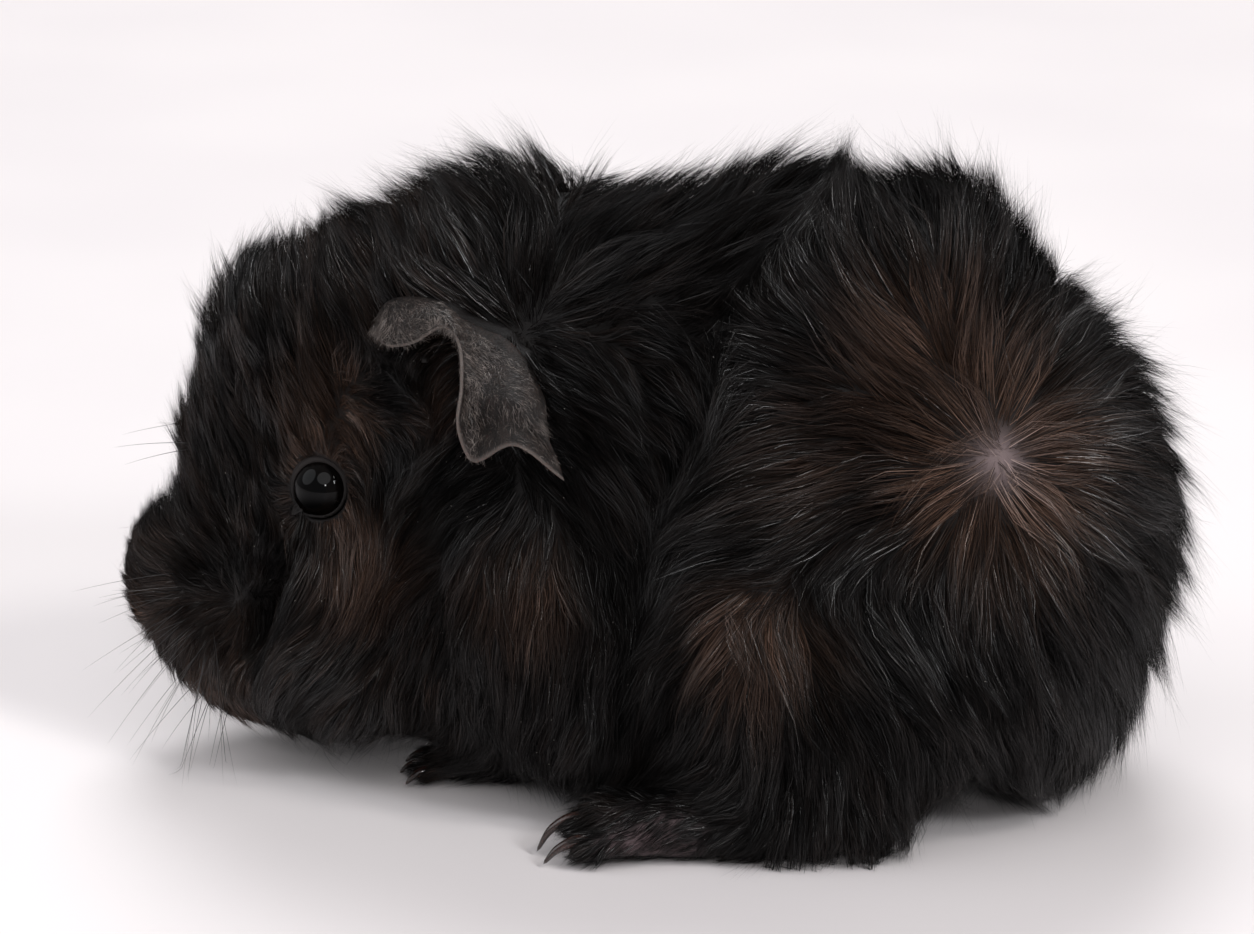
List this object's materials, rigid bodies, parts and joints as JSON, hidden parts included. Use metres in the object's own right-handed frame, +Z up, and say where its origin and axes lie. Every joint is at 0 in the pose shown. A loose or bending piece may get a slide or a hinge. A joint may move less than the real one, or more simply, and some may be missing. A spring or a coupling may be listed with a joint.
{
  "type": "guinea pig",
  "caption": "Still, life-size model of a young rough-coated black guinea pig, sitting hunched on its feet and rump with drooping ears.",
  "frame": {"origin": "on the floor, under the middle of the whole animal's box", "axes": "+Z up, -Y the way that the animal faces, +X its left side"},
  "size_m": [0.0866, 0.1494, 0.0894],
  "materials": {
    "coat": "rough near-black coat, medium gloss",
    "ear_skin": "thin dark grey skin with sparse fine hair",
    "foot_skin": "dark pinkish-grey skin under short sparse hair",
    "eye": "wet glossy black",
    "claw": "dark brown glossy horn"
  },
  "bodies": {
    "root": {"head": "coat", "neck": "coat", "trunk": "coat", "haunch_left": "coat", "haunch_right": "coat", "foreleg_left": "coat", "foreleg_right": "coat", "hindfoot_left": "foot_skin", "forefoot_left": "foot_skin", "ear_left": "ear_skin", "eye_left": "eye", "claw_hind_1_left": "claw", "claw_hind_2_left": "claw", "claw_hind_3_left": "claw", "claw_fore_1_left": "claw", "claw_fore_2_left": "claw", "claw_fore_3_left": "claw", "claw_fore_4_left": "claw", "hindfoot_right": "foot_skin", "forefoot_right": "foot_skin", "ear_right": "ear_skin", "eye_right": "eye", "claw_hind_1_right": "claw", "claw_hind_2_right": "claw", "claw_hind_3_right": "claw", "claw_fore_1_right": "claw", "claw_fore_2_right": "claw", "claw_fore_3_right": "claw", "claw_fore_4_right": "claw"}
  },
  "joints": []
}
